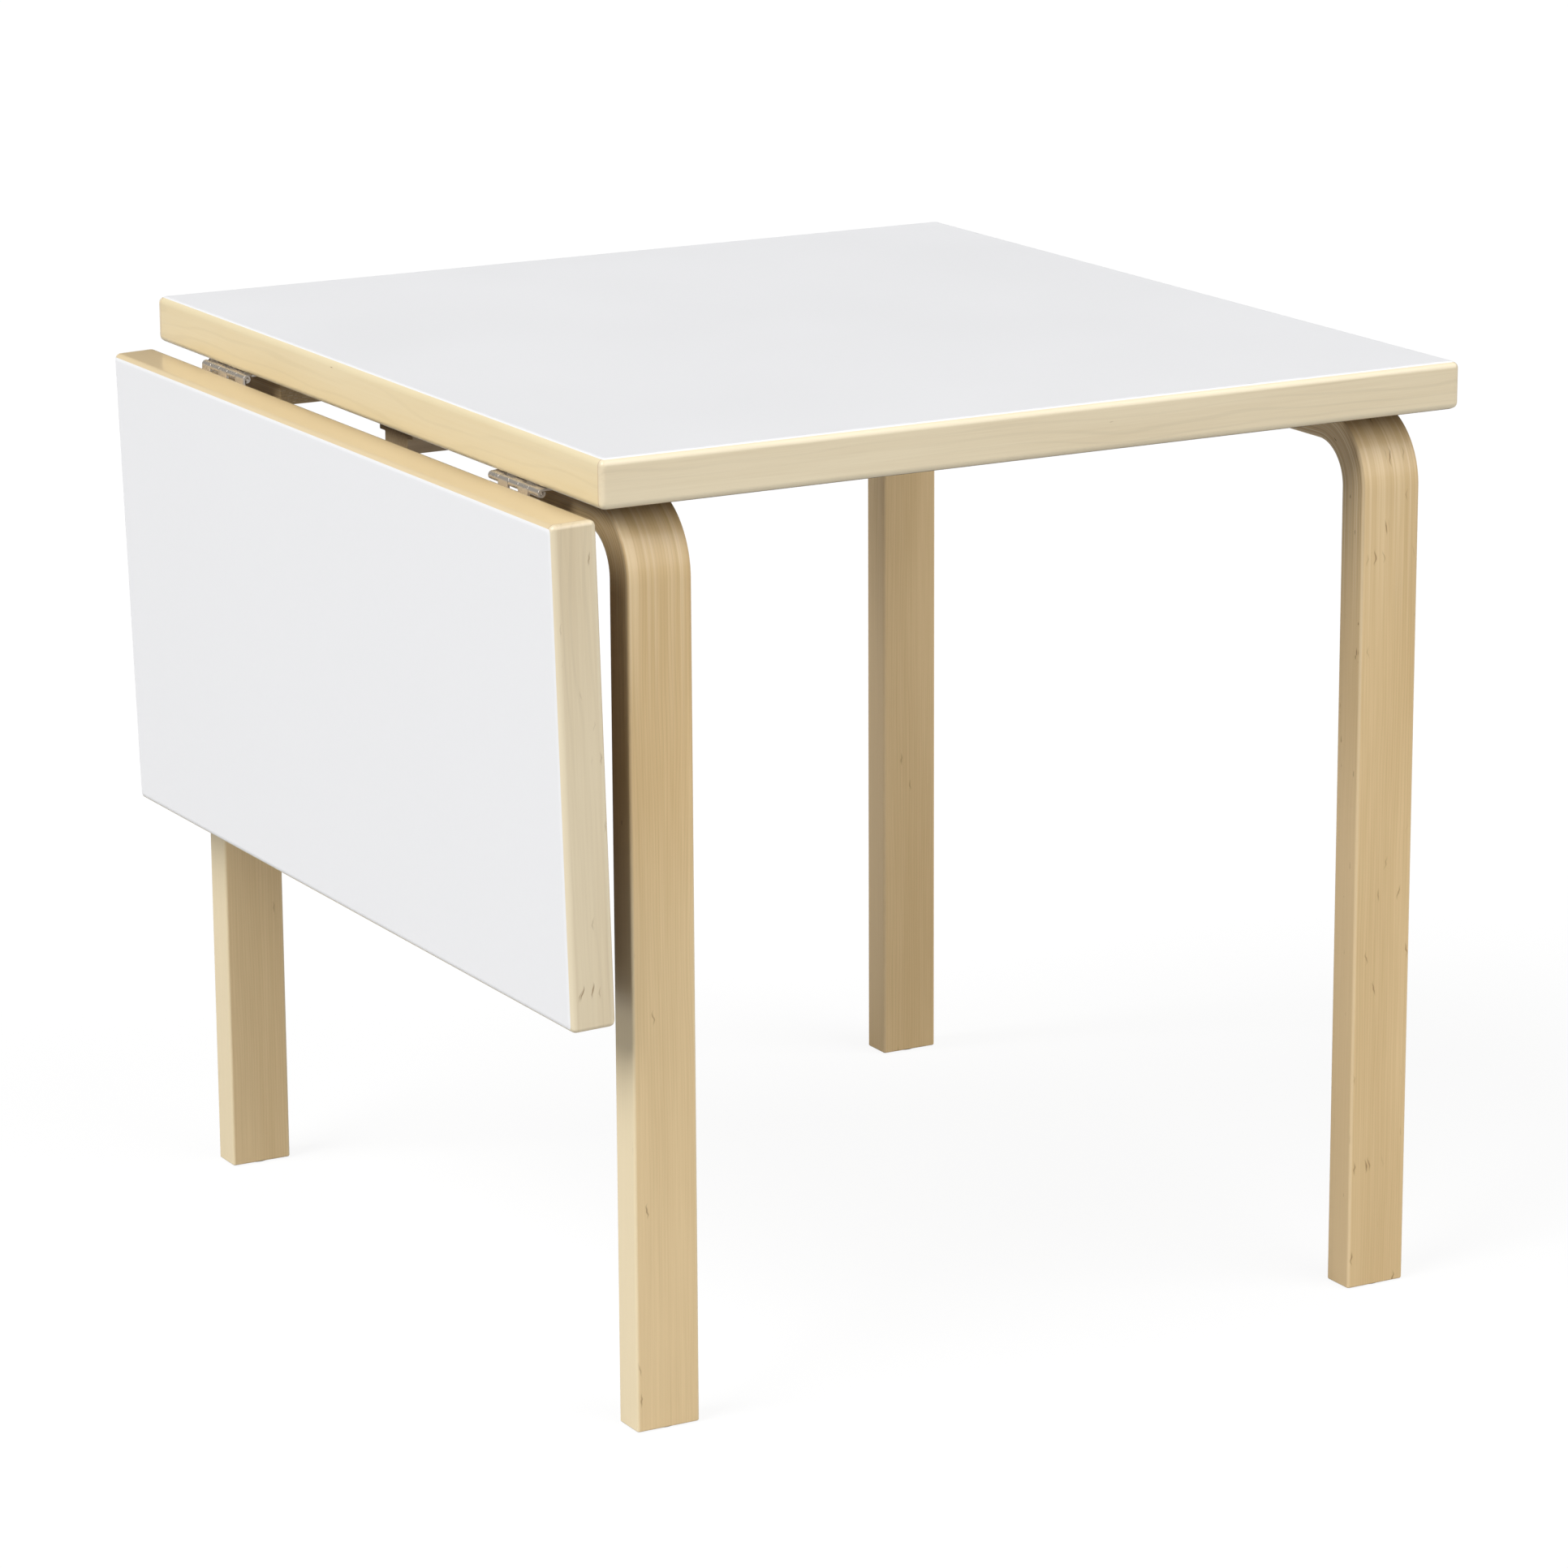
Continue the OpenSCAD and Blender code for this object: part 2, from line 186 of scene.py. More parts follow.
# %% One material
class Finish:
    """One material: a Principled shader, and short words for the nodes that feed it."""

    def __init__(self, name, **constants):
        self.material = bpy.data.materials.new(name)
        self.material.use_nodes = True
        self.tree = self.material.node_tree
        self.tree.nodes.clear()
        self.shader = self.node("ShaderNodeBsdfPrincipled")
        surface = self.node("ShaderNodeOutputMaterial").inputs["Surface"]
        self.tree.links.new(self.shader.outputs[0], surface)
        for words, value in constants.items():
            self.set(words, value)

    def set(self, words, value):
        """Sets or links an input of the shader; base_color stands for "Base Color"."""
        key = words.replace("_", " ").title().replace("Ior", "IOR")
        if isinstance(value, Socket):
            self.tree.links.new(value.output, self.shader.inputs[key])
        else:
            self.shader.inputs[key].default_value = value

    def node(self, kind, settings=None, sockets=None):
        """Adds a node, gives it its settings, then its sockets' values or links."""
        made = self.tree.nodes.new(kind)
        for name, value in (settings or {}).items():
            setattr(made, name, value)
        for key, value in (sockets or {}).items():
            if isinstance(value, Socket):
                self.tree.links.new(value.output, made.inputs[key])
            else:
                made.inputs[key].default_value = value
        return made

    def math(self, operation, *values):
        made = self.node("ShaderNodeMath", {"operation": operation}, dict(enumerate(values)))
        return Socket(self, made.outputs[0])

    def attribute(self, name, output="Vector"):
        made = self.node("ShaderNodeAttribute", {"attribute_name": name})
        return Socket(self, made.outputs[output])

    def place(self):
        return Socket(self, self.node("ShaderNodeTexCoord").outputs["Object"])

    def stretch(self, vector, factors):
        """The vector times the factors: a large factor makes a fine pattern on that axis."""
        made = self.node("ShaderNodeVectorMath", {"operation": "MULTIPLY"}, {0: vector, 1: factors})
        return Socket(self, made.outputs[0])

    def shift(self, vector, amount):
        """Moves the vector's second part, the one across the wood, by this amount."""
        sideways = Socket(self, self.node("ShaderNodeCombineXYZ", None, {1: amount}).outputs[0])
        made = self.node("ShaderNodeVectorMath", {"operation": "ADD"}, {0: vector, 1: sideways})
        return Socket(self, made.outputs[0])

    def parts(self, vector):
        made = self.node("ShaderNodeSeparateXYZ", None, {0: vector})
        return [Socket(self, output) for output in made.outputs]

    def noise(self, vector, detail=2.0, roughness=0.5):
        sockets = {"Vector": vector, "Scale": 1.0, "Detail": detail, "Roughness": roughness}
        return Socket(self, self.node("ShaderNodeTexNoise", None, sockets).outputs["Fac"])

    def cells(self, vector):
        """Scattered cells: the distance to each one's middle, and its own chance number."""
        made = self.node("ShaderNodeTexVoronoi", None, {"Vector": vector, "Scale": 1.0})
        chance = self.node("ShaderNodeSeparateColor", None, {0: Socket(self, made.outputs["Color"])})
        return Socket(self, made.outputs["Distance"]), Socket(self, chance.outputs[0])

    def rise(self, value, low, high):
        """0 below low, 1 above high, and a smooth slope between; low may be above high."""
        sockets = {"Value": value, "From Min": low, "From Max": high}
        made = self.node("ShaderNodeMapRange", {"interpolation_type": "SMOOTHSTEP"}, sockets)
        return Socket(self, made.outputs[0])

    def mix(self, factor, first, second, blend="MIX"):
        settings = {"data_type": "RGBA", "blend_type": blend}
        made = self.node("ShaderNodeMix", settings, {0: factor, 6: first, 7: second})
        return Socket(self, made.outputs[2])

    def relief(self, height, distance, strength=1.0):
        """Tilts the surface as a relief of this height, in metres, would."""
        sockets = {"Strength": strength, "Distance": distance, "Height": height}
        self.set("normal", Socket(self, self.node("ShaderNodeBump", None, sockets).outputs[0]))


print("words of a finish:", [word for word in vars(Finish) if not word.startswith("_")])

# %% [markdown]
# ## Birch
# Birch is pale, with fine fibres, faint growth lines and a few short dark flecks. The pattern
# must follow each board and turn with the leg's bend, so it isn't painted by position in the
# room. Every wooden piece carries an attribute, `grain`, which holds the place along,
# across and through the wood as if the piece were still straight. The noise is stretched
# along the first of these three, and the wood is lacquered with a thin clear coat. A fleck
# is the middle of a long cell, bent a little sideways by noise.

# %% The wood's material
def rgb(red, green, blue):
    return (red, green, blue, 1.0)


def birch(
    name, pale, deep, edge, fibre=1.0, lines=1.0, line_gap=6 * mm, flecks=0.015, fleck_size=1.0,
    coat=0.3, gloss=0.35, relief=0.5, shine=0.5,
):
    """Birch that runs along grain.x: pale and deep are its two tones, and edge is its arris tone.
    The arris tone is partly the wood under thinner lacquer and partly painted light on the arris.
    fibre and lines say how strong the fibres and growth lines are, and flecks how many of the
    cells hold a fleck."""
    wood = Finish(
        name, coat_weight=coat, coat_roughness=0.12, coat_ior=1.45, specular_ior_level=shine
    )
    grain = wood.attribute("grain")
    along, across, depth = wood.parts(grain)
    arris = wood.attribute("arris", "Fac")

    drift = wood.noise(wood.stretch(grain, (2.5, 22.0, 22.0)), detail=3.0)
    streak = wood.noise(wood.stretch(grain, (7.0, 400.0, 400.0)), detail=4.0, roughness=0.6)
    thread = wood.noise(wood.stretch(grain, (18.0, 1300.0, 1300.0)), detail=2.0)
    wander = wood.noise(wood.stretch(grain, (3.5, 26.0, 26.0)), detail=2.0)
    ring = wood.math("SINE", (across / line_gap + depth / line_gap * 0.6 + wander * 5.0) * tau)
    line = wood.rise(ring, 0.55, 1.0) * wood.rise(drift, 0.35, 0.62)

    tone = drift * 0.9 + (streak - 0.5) * fibre * 1.1 + (thread - 0.5) * fibre * 0.5
    colour = wood.mix(wood.rise(tone, 0.1, 0.9), pale, deep)
    shade = [channel * 0.8 for channel in deep[:3]] + [1.0]
    colour = wood.mix(line * 0.35 * lines, colour, shade)

    sway = (wood.noise(wood.stretch(grain, (90.0, 30.0, 30.0))) - 0.5) * (4 * mm * fleck_size)
    centre, chance = wood.cells(wood.stretch(wood.shift(grain, sway), (42.0, 290.0, 290.0)))
    near = 1 - wood.rise(centre, 0.03, 0.13 * fleck_size)
    fleck = near * (1 - wood.rise(chance, flecks * 0.9, flecks * 1.1 + 0.0001))
    dark = rgb(deep[0] * 0.42, deep[1] * 0.32, deep[2] * 0.22)
    colour = wood.mix(fleck * 0.9, colour, dark)
    # Arris tone: partly the wood under thinner lacquer and partly painted light. It is a painted
    # highlight where edge is paler than the wood, and painted shade where it is darker.
    colour = wood.mix(arris * 0.7, colour, edge)
    seam_tone = rgb(0.52, 0.33, 0.21)
    colour = wood.mix(wood.attribute("seam", "Fac") * 0.7, colour, seam_tone)

    wood.set("base_color", colour)
    wood.set("roughness", gloss + (streak - 0.5) * fibre * 0.15 + fleck * 0.2)
    wood.relief(streak * 0.5 + thread * 0.5 - fleck * 1.5, 0.03 * mm, relief)
    return wood


lipping_cool = birch(
    "birch lipping, cool", rgb(0.76, 0.66, 0.47), rgb(0.66, 0.55, 0.37), rgb(0.80, 0.71, 0.52),
    fibre=0.5, lines=0.6, line_gap=9 * mm, flecks=0.006,
)
lipping_warm = birch(
    "birch lipping, warm", rgb(0.77, 0.66, 0.43), rgb(0.72, 0.58, 0.33), rgb(0.79, 0.70, 0.48),
    fibre=0.3, lines=0.5, line_gap=14 * mm, flecks=0.003,
)
lipping_leaf_end = birch(
    "birch lipping, leaf ends", rgb(0.725, 0.625, 0.44), rgb(0.62, 0.51, 0.34),
    rgb(0.80, 0.71, 0.52), fibre=0.5, lines=0.5, line_gap=8 * mm, flecks=0.13, fleck_size=2.3,
)
lipping_gloss = birch(
    "birch lipping, leaf edge", rgb(0.72, 0.565, 0.335), rgb(0.67, 0.51, 0.28),
    rgb(0.76, 0.63, 0.41), fibre=0.05, lines=0.1, line_gap=12 * mm, flecks=0.0,
    coat=0.6, gloss=0.3, relief=0.0,
)
runner_wood = birch(
    "birch runner", rgb(0.60, 0.46, 0.28), rgb(0.48, 0.34, 0.19), rgb(0.62, 0.49, 0.31),
    lines=1.0, line_gap=4 * mm,
)
knob_wood = birch(
    "birch knob", rgb(0.70, 0.58, 0.38), rgb(0.60, 0.47, 0.28), rgb(0.72, 0.60, 0.40),
    lines=1.0, line_gap=4 * mm, flecks=0.0,
)
print("birch finishes:", [m.name for m in bpy.data.materials if m.name.startswith("birch")])

# %% [markdown]
# ## The legs' birch
# A leg is one solid stave. Only its upper end is sawn into thin layers, which are glued
# with veneers between them and bent. So the sides of the bend show fine pale lines that
# follow the curve and die out a little way down the leg. Over the lower half of the leg the
# sides are paler than the faces. Higher up they keep the faces' darker tone, which is painted
# shade where the top and the hanging leaf shade them.

# %% The legs' material
leg_layer = 2.6 * mm
leg_sawn_l = 110 * mm       # how far the sawn layers reach down from the bend
leg_glue_fade = 60 * mm     # the glue lines are at their full strength this far up the bend
# Above these heights the sides lose their pale tone. This is painted shade where the top and the
# hanging leaf shade the legs' sides.
leg_side_unshaded_below = 340 * mm    # the sides are palest below this height
leg_side_shade_painted_above = 500 * mm     # and no paler than the faces above this one
leg_half_width = (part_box("leg_front_left")[1].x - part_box("leg_front_left")[0].x) / 2


def leg_birch(name, bend_start, pale_sides, side_tone, edge, flecks):
    """Birch with glued layers on its sides, from leg_sawn_l below the bend to the arm's end,
    and with sides that are tinted by pale_sides towards side_tone low down. Higher up the
    sides keep the faces' darker tone, which is painted shade."""
    leg = birch(
        name, rgb(0.71, 0.527, 0.288), rgb(0.555, 0.39, 0.187), edge,
        fibre=0.5, lines=0.9, line_gap=2.4 * mm, flecks=flecks, fleck_size=2.4,
        coat=0.15, gloss=0.4, relief=0.2, shine=0.3,
    )
    grain = leg.attribute("grain")
    along, across, depth = leg.parts(grain)
    side = leg.attribute("side", "Fac")
    face_colour = Socket(leg, leg.shader.inputs["Base Color"].links[0].from_socket)
    # Painted shade: above about 340 to 500 mm the sides keep the faces' darker tone.
    lower = 1 - leg.rise(along, leg_side_unshaded_below, leg_side_shade_painted_above)
    pale_low_shade_painted_high = leg.mix(side * lower * pale_sides, face_colour, side_tone)
    wave = leg.noise(leg.stretch(grain, (4.0, 60.0, 60.0))) * 0.5
    layer = leg.math("SINE", (depth / leg_layer + wave) * tau)
    glue = leg.rise(layer, 0.5, 0.95) * side * leg.rise(
        along + leg.noise(leg.stretch(grain, (6.0, 300.0, 300.0))) * 0.08,
        bend_start - leg_sawn_l, bend_start + leg_glue_fade,
    )
    pale_line = leg.rise(leg.noise(leg.stretch(grain, (0.5, 260.0, 260.0))), 0.45, 0.6)
    line_tone = leg.mix(pale_line, rgb(0.45, 0.31, 0.16), rgb(0.88, 0.78, 0.58))
    leg.set("base_color", leg.mix(glue * 0.85, pale_low_shade_painted_high, line_tone))
    return leg


# %% [markdown]
# ## Laminate, metal and the rest
# The laminate is white with a satin skin. Its faint blue tint is a painted reflection. The
# hinges are nickel plated, the screws are zinc plated, the bar is waxed steel, and the feet
# stand on dull grey discs. The floor is white paper. Seen directly it is mostly an even glow,
# so the shadow on it is faint, but the glow doesn't light the table: for the table the floor
# is ordinary pale paper.

# %% Laminate, metals and other finishes
def plain_finish(name, colour, roughness, spread, scale, metallic=0.0, relief=0.0):
    """A finish whose tone and gloss wander a little: spread is how much, scale how fine."""
    made = Finish(name, metallic=metallic)
    place = made.place()
    cloud = made.noise(made.stretch(place, (scale,) * 3), detail=3.0)
    speck = made.noise(made.stretch(place, (scale * 40,) * 3), detail=1.0)
    darker = [channel * (1 - spread) for channel in colour[:3]] + [1.0]
    made.set("base_color", made.mix(cloud * 0.6 + speck * 0.4, colour, darker))
    made.set("roughness", roughness + (cloud - 0.5) * 0.1 + (speck - 0.5) * 0.06)
    if relief:
        made.relief(speck, relief)
    return made


# The laminate's faint blue tint is a painted reflection.
white_laminate = plain_finish(
    "white laminate", rgb(0.825, 0.827, 0.84), 0.36, 0.02, 6.0, relief=0.004 * mm
)
backing_sheet = plain_finish(
    "backing sheet", rgb(0.17, 0.11, 0.06), 0.6, 0.06, 9.0, relief=0.01 * mm
)
board_core = plain_finish("board core", rgb(0.55, 0.42, 0.27), 0.75, 0.35, 60.0)
hinge_steel = plain_finish("nickel plated steel", rgb(0.80, 0.74, 0.66), 0.28, 0.05, 20.0, 0.8)
screw_zinc = plain_finish("zinc plated steel", rgb(0.66, 0.67, 0.69), 0.30, 0.15, 120.0, 1.0)
bar_steel = plain_finish("waxed dark steel", rgb(0.16, 0.155, 0.15), 0.38, 0.3, 30.0, 1.0)
glide_grey = plain_finish("grey glide", rgb(0.30, 0.30, 0.31), 0.85, 0.3, 200.0, relief=0.05 * mm)
paper = Finish(
    "white paper", roughness=0.9, emission_strength=floor_glow, specular_ior_level=0.0
)
seen_directly = Socket(paper, paper.node("ShaderNodeLightPath").outputs[0])
paper_tone = rgb(floor_paper, floor_paper, floor_paper)
seen_tone = rgb(floor_paper_seen, floor_paper_seen, floor_paper_seen)
paper.set("base_color", paper.mix(seen_directly, paper_tone, seen_tone))
paper.set("emission_color", paper.mix(seen_directly, rgb(0, 0, 0), rgb(1, 1, 1)))
floor_mesh.materials.append(paper.material)
print(len(bpy.data.materials), "materials")

# %% [markdown]
# ## Shapes from grids of numbers
# Every new piece is a closed skin whose points are worked out as whole arrays. Three kinds
# of skin are enough here. A lattice is the skin of a block of points, which a formula then
# shapes, a stick is a flat outline carried along a line, and a turned piece is a profile
# carried round an axis. All of them come out straight and level. They are drilled in that
# state, where they have holes, and only then moved to their place.

# %% Grids and welding
def grid_quads(rows, columns, wrap=False, first=0):
    """The corner numbers of a grid's quads, its points numbered row by row. With wrap, the
    last column joins the first."""
    row = np.arange(rows - 1)[:, None] * columns
    column = np.arange(columns if wrap else columns - 1)[None, :]
    beside = (column + 1) % columns
    corners = [row + column, row + beside, row + columns + beside, row + columns + column]
    return np.stack(corners, axis=-1).reshape(-1, 4) + first


def lattice(us, vs, ws):
    """The skin of a block: six grids over the values us, vs and ws, with the points that
    two grids share made one. Gives the points, as (u, v, w), and the quads."""
    axes = [np.asarray(values, float) for values in (us, vs, ws)]
    points = []
    quads = []
    count = 0
    for axis in range(3):
        others = [k for k in range(3) if k != axis]
        for end in (axes[axis][0], axes[axis][-1]):
            rows, columns = [len(axes[k]) for k in others]
            grid = np.full((rows, columns, 3), end)
            grid[..., others[0]] = axes[others[0]][:, None]
            grid[..., others[1]] = axes[others[1]][None, :]
            points.append(grid.reshape(-1, 3))
            quads.append(grid_quads(rows, columns, first=count))
            count += rows * columns
    points = np.concatenate(points)
    rounded = np.round(points * 1e6).astype(np.int64)
    _, keep, number = np.unique(rounded, axis=0, return_index=True, return_inverse=True)
    return points[keep], number.reshape(-1)[np.concatenate(quads)]


block_points, block_quads = lattice(range(3), range(4), range(5))
print("a block of 3 x 4 x 5 points:", len(block_points), "on its skin,", len(block_quads), "quads")


# %% A mesh from arrays, and the arrays of a mesh
def outwards(mesh):
    """Turns every face of a closed skin outwards."""
    skin = bmesh.new()
    skin.from_mesh(mesh)
    bmesh.ops.recalc_face_normals(skin, faces=skin.faces)
    skin.to_mesh(mesh)
    skin.free()


def piece_from(name, points, faces):
    mesh = bpy.data.meshes.new(name)
    mesh.from_pydata(np.asarray(points).tolist(), [], faces)
    outwards(mesh)
    piece = bpy.data.objects.new(name, mesh)
    bpy.context.scene.collection.objects.link(piece)
    return piece


def points_of(mesh):
    flat = np.empty(len(mesh.vertices) * 3)
    mesh.vertices.foreach_get("co", flat)
    return flat.reshape(-1, 3)


def mark(mesh, name, values):
    """Writes an attribute on the points: one number each, or three."""
    values = np.asarray(values, float)
    kind, field = ("FLOAT_VECTOR", "vector") if values.ndim == 2 else ("FLOAT", "value")
    mesh.attributes.new(name, kind, "POINT").data.foreach_set(field, values.ravel())


# %% Outlines
def round_outline(corners, radius, steps=6):
    """A closed outline with each corner replaced by an arc that touches both of its sides.
    The arc's centre is radius / sin(half the corner's angle) along the bisector, and its
    points turn evenly from one touching point to the other."""
    corners = np.asarray(corners, float)
    radii = np.broadcast_to(radius, len(corners))
    back = np.roll(corners, 1, axis=0) - corners
    ahead = np.roll(corners, -1, axis=0) - corners
    back /= np.linalg.norm(back, axis=1)[:, None]
    ahead /= np.linalg.norm(ahead, axis=1)[:, None]
    half = np.arccos(np.clip((back * ahead).sum(1), -1, 1)) / 2
    bisector = (back + ahead) / np.linalg.norm(back + ahead, axis=1)[:, None]
    centre = corners + bisector * (radii / np.sin(half))[:, None]
    touch = (radii / np.tan(half))[:, None]
    first = corners + back * touch - centre
    last = corners + ahead * touch - centre
    turn = (pi - 2 * half)[:, None, None]
    share = np.linspace(0, 1, steps + 1)[None, :, None]
    arc = first[:, None, :] * np.sin((1 - share) * turn) + last[:, None, :] * np.sin(share * turn)
    return (centre[:, None, :] + arc / np.sin(turn)).reshape(-1, 2)


def rectangle(width, height, radius, steps=6):
    """A rectangle about the origin with round corners."""
    x, y = width / 2, height / 2
    return round_outline([(-x, -y), (x, -y), (x, y), (-x, y)], radius, steps)


def inward(outline):
    """Unit vectors into a closed outline at its points, square to the line through each
    point's two neighbours."""
    beside = np.roll(outline, -1, axis=0) - np.roll(outline, 1, axis=0)
    following = np.roll(outline, -1, axis=0)
    area = (outline[:, 0] * following[:, 1] - outline[:, 1] * following[:, 0]).sum()
    normal = np.stack([-beside[:, 1], beside[:, 0]], axis=1) * np.sign(area)
    return normal / np.linalg.norm(normal, axis=1)[:, None]


print("a rectangle with round corners has", len(rectangle(20 * mm, 10 * mm, 2 * mm)), "points")


# %% Sticks and turned pieces
def stick(name, outline, stations, ease):
    """An outline (across, depth) carried along the stations. Within `ease` of each end the
    ring moves in by ease - sqrt(ease^2 - (ease - d)^2), a quarter circle, where d is the
    distance from that end. Points are (along, across, depth)."""
    first, last = min(stations), max(stations)
    near = ease * (1 - np.cos(np.linspace(0, pi / 2, 5)))
    along = np.unique(np.round(np.concatenate([first + near, stations, last - near]), 7))
    d = np.minimum(np.minimum(along - first, last - along), ease)
    inset = ease - np.sqrt(np.maximum(ease**2 - (ease - d) ** 2, 0))
    rings = outline[None] + inward(outline)[None] * inset[:, None, None]
    places = np.broadcast_to(along[:, None, None], rings.shape[:2] + (1,))
    points = np.concatenate([places, rings], 2)
    count = len(outline)
    faces = grid_quads(len(along), count, wrap=True).tolist()
    faces.append(list(range(count)))
    faces.append(list(range((len(along) - 1) * count, len(along) * count)))
    return piece_from(name, points.reshape(-1, 3), faces)


def turned(name, profile, steps=48):
    """A profile of (radius, height) turned about the z axis, with flat ends: x and y are the
    radius times the cosine and the sine of the angle."""
    profile = np.asarray(profile, float)
    angle = np.arange(steps) / steps * tau
    radius = profile[:, 0][:, None]
    height = np.broadcast_to(profile[:, 1][:, None], (len(profile), steps))
    points = np.stack([radius * np.cos(angle), radius * np.sin(angle), height], axis=-1)
    faces = grid_quads(len(profile), steps, wrap=True).tolist()
    faces.append(list(range(steps)))
    faces.append(list(range((len(profile) - 1) * steps, len(profile) * steps)))
    return piece_from(name, points.reshape(-1, 3), faces)


def countersunk_hole(x, y, face, end, head_r, screw_r, sink, start):
    """A cutter for a screw's hole at (x, y), from the height `start` up to `end`. Above the
    face it narrows over the height `sink` from the head's radius to the screw's."""
    profile = [(head_r, start), (head_r, face), (screw_r, face + sink), (screw_r, end)]
    hole = turned("hole", profile, 32)
    hole.data.transform(Matrix.Translation((x, y, 0)))
    return hole


# %% Drilling, and a finished piece
def drill(piece, cutters):
    """Takes the cutters out of the piece, and then removes them."""
    for cutter in cutters:
        cut = piece.modifiers.new("cut", "BOOLEAN")
        cut.operation = "DIFFERENCE"
        cut.solver = "EXACT"
        cut.object = cutter
    seen = bpy.context.evaluated_depsgraph_get()
    piece.data = bpy.data.meshes.new_from_object(piece.evaluated_get(seen))
    piece.modifiers.clear()
    for cutter in cutters:
        bpy.data.objects.remove(cutter)


made_pieces = []
smooth_below = radians(32)
step_along = np.array([1.37, 0.0, 0.0])


def own_figure(step):
    """A different multiple of the step for each piece. Added to the grain, it gives the piece
    its own figure."""
    return step * (len(made_pieces) + 1)


def finished(piece, place, finish, body, nodes):
    """Moves a straight piece to its place, shades it, ties it to its body, and hides the nodes
    that it replaces.
    The straight coordinates stay with it as the attribute `grain`, unless it already has one."""
    mesh = piece.data
    straight = points_of(mesh)
    if "grain" not in mesh.attributes:
        mark(mesh, "grain", straight + own_figure(step_along))
    mesh.vertices.foreach_set("co", place(straight).ravel())
    outwards(mesh)
    mesh.shade_smooth()
    mesh.set_sharp_from_angle(angle=smooth_below)
    even = piece.modifiers.new("even shading", "WEIGHTED_NORMAL")
    even.keep_sharp = True
    mesh.materials.clear()
    mesh.materials.append(finish.material)
    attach(piece, body)
    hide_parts(*nodes)
    made_pieces.append(piece)
    return piece


# %% [markdown]
# ## Where the leaf hangs
# The leaf is modelled level, as if it were raised, because its boards are square to the axes
# there. It is then turned down about the hinge pins' axis, by the leaf joint's whole range.

# %% Turning between level and hanging
leaf_joint = next(joint for joint in frame["joints"] if joint["name"] == "leaf_fold")
pull_joint = next(joint for joint in frame["joints"] if joint["name"] == "support_pull")
pin_axis = np.array(leaf_joint["pos_m"])
swing = radians(leaf_joint["range_deg"][1])


def turned_about_pins(points, angle):
    """Turns points about the pins' axis, which runs along y, from +x towards +z."""
    x, y, z = (np.asarray(points) - pin_axis * [1, 0, 1]).T
    x_new = x * cos(angle) - z * sin(angle)
    z_new = x * sin(angle) + z * cos(angle)
    return np.stack([x_new, y, z_new], axis=1) + pin_axis * [1, 0, 1]


def hang(points):
    return turned_about_pins(points, swing)


def stay(points):
    return points


def level_box(place, *nodes):
    """The lowest and highest corner of these nodes, with the leaf raised level if it hangs."""
    points = np.concatenate([points_of(frame["nodes"][node].data) for node in nodes])
    if place is hang:
        points = turned_about_pins(points, -swing)
    return points.min(0), points.max(0)


top_lo, top_hi = level_box(
    stay, "top_lipping_front", "top_lipping_back", "top_laminate", "top_backing"
)
leaf_lo, leaf_hi = level_box(
    hang, "leaf_lipping_front", "leaf_lipping_back", "leaf_laminate", "leaf_backing"
)
underside = top_lo[2]
print("top from", top_lo.round(4), "to", top_hi.round(4))
print("level leaf from", leaf_lo.round(4), "to", leaf_hi.round(4))

# %% [markdown]
# ## Boards
# A board is a core with a thin sheet on each face and a solid birch lipping on its four
# edges. The arrises are routed round after gluing, so the lippings and the sheets share one
# form. At a depth d below a face, a quarter circle of radius r takes the outline in by
# r - sqrt(r^2 - (r - d)^2). Each piece is a lattice whose points are pushed onto that form.

# %% The boards' common form
arris_r = 5.5 * mm
corner_r = 3.5 * mm
soft_corner_r = 2.6 * mm
sheet_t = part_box("top_laminate")[1].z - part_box("top_laminate")[0].z
lipping_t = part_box("top_lipping_front")[1].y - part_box("top_lipping_front")[0].y
board_t = top_hi[2] - top_lo[2]


def arris_inset(height):
    """How far the outline is taken in at this height above the board's lower face."""
    d = np.clip(np.minimum(height, board_t - height), 0, arris_r)
    return arris_r - np.sqrt(np.maximum(arris_r**2 - (arris_r - d) ** 2, 0))


def corner_inset(height, q):
    """The outline's inset along x at a distance q from its front or back line. The plan's corner
    is a quarter circle, of a smaller radius where the arris has taken the outline in."""
    inset = arris_inset(height)
    radius = np.maximum(corner_r - inset, soft_corner_r)
    d = np.clip(q, 0, radius)
    return inset + radius - np.sqrt(np.maximum(radius**2 - (radius - d) ** 2, 0))


def heights(low, high):
    """Heights from low to high, close together where an arris is round."""
    curve = arris_r * (1 - np.cos(np.linspace(0, pi / 2, 13)))
    every = np.concatenate([curve, board_t - curve, [low, high, board_t / 2]])
    return np.unique(np.round(every[(every >= low - 1e-9) & (every <= high + 1e-9)], 7))


def arris_mask(height):
    """1 on a board's rounded arrises, falling to 0 where they meet its edge face."""
    d = np.minimum(height, board_t - height)
    return np.clip(1 - d / arris_r, 0, 1) ** 0.6


print("at its faces a board is", round(float(arris_inset(0.0)), 4), "m smaller all round")


# %% Sheets and lippings
eased_seam = 0.12 * mm


def board_piece(node, lo, points, quads, grain, place, finish, body, slot, seam=None):
    """A sheet or a lipping from its lattice, with the lattice's points given from lo."""
    piece = piece_from(node + "_form", points + lo, quads.tolist())
    mark(piece.data, "grain", grain + own_figure(step_along))
    mark(piece.data, "arris", arris_mask(points[:, 2]))
    if seam is not None:
        mark(piece.data, "seam", seam)
    if slot == "birch_lipping":
        bevel = piece.modifiers.new("eased seams", "BEVEL")
        bevel.width = eased_seam
        bevel.segments = 2
        bevel.limit_method = "ANGLE"
        bevel.angle_limit = radians(50)
    return finished(piece, place, finish, body, [node])


